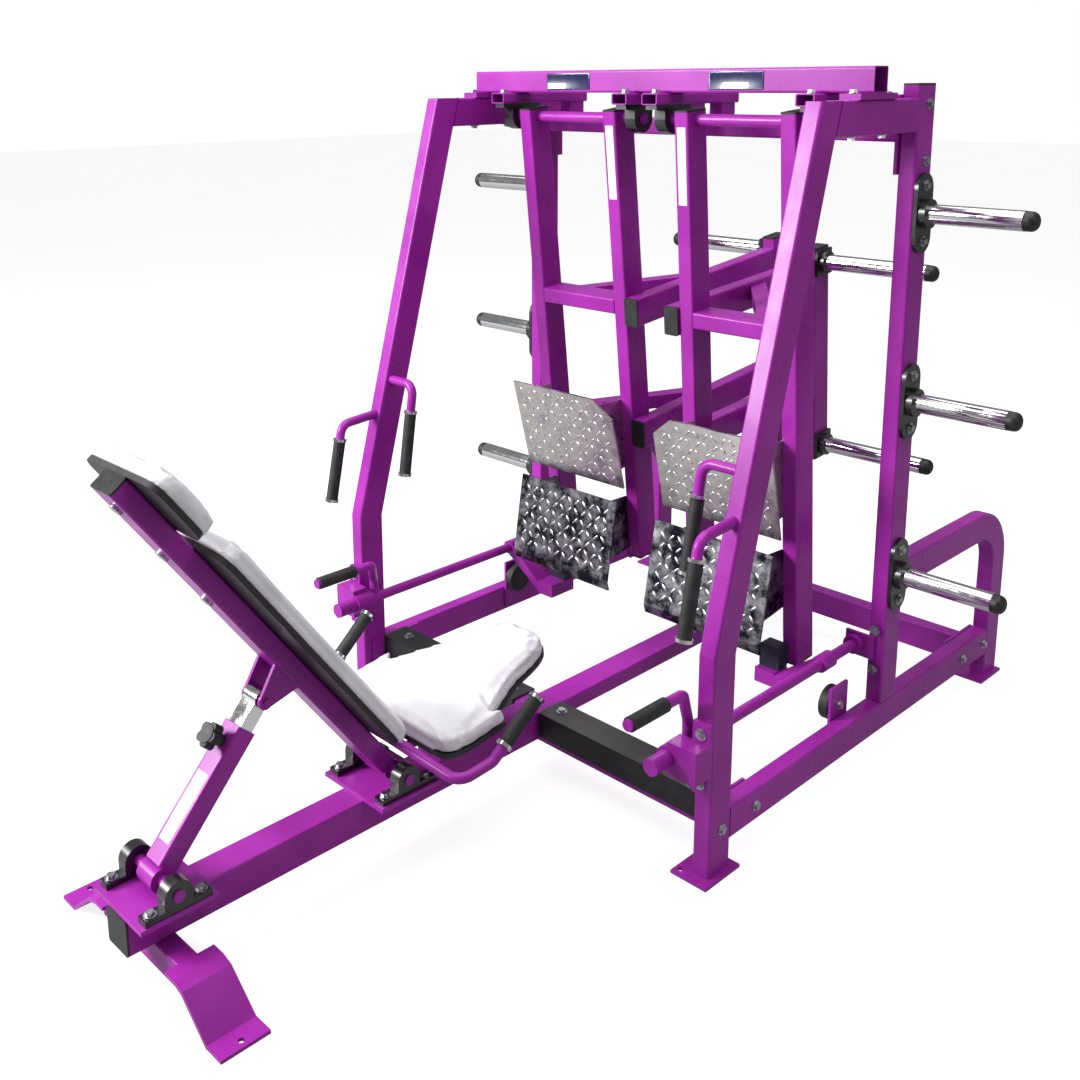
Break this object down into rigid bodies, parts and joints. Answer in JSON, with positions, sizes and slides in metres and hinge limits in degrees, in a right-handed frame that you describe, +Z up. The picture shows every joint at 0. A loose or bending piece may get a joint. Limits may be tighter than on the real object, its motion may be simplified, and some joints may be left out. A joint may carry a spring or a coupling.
{
  "type": "leg press machine",
  "caption": "Plate-loaded leg press with an adjustable padded bench, two independent swinging foot plates on arms, stop levers and storage horns.",
  "frame": {"origin": "on the floor, in the middle of the footprint", "axes": "+Z up, +Y from the head rest towards the weights, +X the user's right when lying on the bench"},
  "size_m": [1.85, 2.55, 1.791],
  "materials": {
    "purple_paint": "gloss powder coat",
    "black_cast": "satin black casting",
    "chrome": "polished",
    "zinc": "zinc plated",
    "tread_plate": "diamond plate",
    "white_vinyl": "smooth upholstery vinyl",
    "black_plastic": "moulded",
    "black_rubber": "matt",
    "blue_rubber": "matt",
    "label_white": "printed label stock"
  },
  "bodies": {
    "frame": {"arm_pillow_blocks": "black_cast", "badge_plates": "label_white", "bench_bearings": "black_cast", "bumper_discs": "black_rubber", "frame_bolts": "zinc", "frame_end_caps": "black_plastic", "frame_plates": "purple_paint", "front_base_beam": "purple_paint", "front_posts": "purple_paint", "grab_handles": "purple_paint", "handle_collars": "chrome", "handle_grips": "black_rubber", "head_beam": "purple_paint", "lock_bearings": "purple_paint", "pivot_rails": "purple_paint", "rear_arches": "purple_paint", "rear_base_beam": "purple_paint", "rear_top_beam": "purple_paint", "rear_uprights": "purple_paint", "seat_board": "black_plastic", "seat_bracket": "purple_paint", "seat_pad": "white_vinyl", "side_rails": "purple_paint", "spine_beams": "purple_paint", "stabilizer": "purple_paint", "step_covers": "black_plastic", "storage_horn_flanges": "black_cast", "storage_horns": "chrome", "top_side_beams": "purple_paint"},
    "backrest": {"backrest_tube": "purple_paint", "strut_clevis": "purple_paint", "pad_boards": "black_plastic", "head_pad": "white_vinyl", "back_pad": "white_vinyl", "backrest_fittings": "black_plastic"},
    "strut": {"strut_sleeve": "purple_paint", "pop_pin": "black_rubber"},
    "strut_inner": {"strut_bar": "chrome"},
    "left_arm": {"left_arm_crossframes": "purple_paint", "left_arm_end_caps": "black_plastic", "left_arm_uprights": "purple_paint", "left_foot_plates": "tread_plate", "left_horn_flanges": "black_cast", "left_pivot_shaft": "purple_paint", "left_weight_column": "purple_paint", "left_weight_horns": "chrome"},
    "left_lock": {"left_lock_bar": "purple_paint", "left_lock_grip": "black_rubber", "left_lock_pad": "blue_rubber"},
    "right_arm": {"right_arm_crossframes": "purple_paint", "right_arm_end_caps": "black_plastic", "right_arm_uprights": "purple_paint", "right_foot_plates": "tread_plate", "right_horn_flanges": "black_cast", "right_pivot_shaft": "purple_paint", "right_weight_column": "purple_paint", "right_weight_horns": "chrome"},
    "right_lock": {"right_lock_bar": "purple_paint", "right_lock_grip": "black_rubber", "right_lock_pad": "blue_rubber"}
  },
  "joints": [
    {"name": "left_arm_swing", "type": "hinge", "parent": "frame", "child": "left_arm", "pos_m": [0, 0.372, 1.664], "axis": [1, 0, 0], "range_deg": [0, 30]},
    {"name": "right_arm_swing", "type": "hinge", "parent": "frame", "child": "right_arm", "pos_m": [0, 0.372, 1.664], "axis": [1, 0, 0], "range_deg": [0, 30]},
    {"name": "left_lock_turn", "type": "hinge", "parent": "frame", "child": "left_lock", "pos_m": [-0.562, 0, 0.304], "axis": [0, 1, 0], "range_deg": [0, 40]},
    {"name": "right_lock_turn", "type": "hinge", "parent": "frame", "child": "right_lock", "pos_m": [0.562, 0, 0.304], "axis": [0, -1, 0], "range_deg": [0, 40]},
    {"name": "backrest_recline", "type": "hinge", "parent": "frame", "child": "backrest", "pos_m": [0, -0.595, 0.2], "axis": [1, 0, 0], "range_deg": [-6, 6]},
    {"name": "strut_tilt", "type": "hinge", "parent": "frame", "child": "strut", "pos_m": [0, -1.185, 0.2], "axis": [1, 0, 0], "range_deg": [-1, 1]},
    {"name": "strut_extension", "type": "slide", "parent": "strut", "child": "strut_inner", "axis": [0, 0.6644, 0.7474], "range_m": [-0.04712, 0.04712]}
  ],
  "couplings": [
    {"joint": "strut_tilt", "follows": "backrest_recline", "ratio": 0.0011826},
    {"joint": "strut_extension", "follows": "backrest_recline", "m_per_rad": -0.44045}
  ]
}
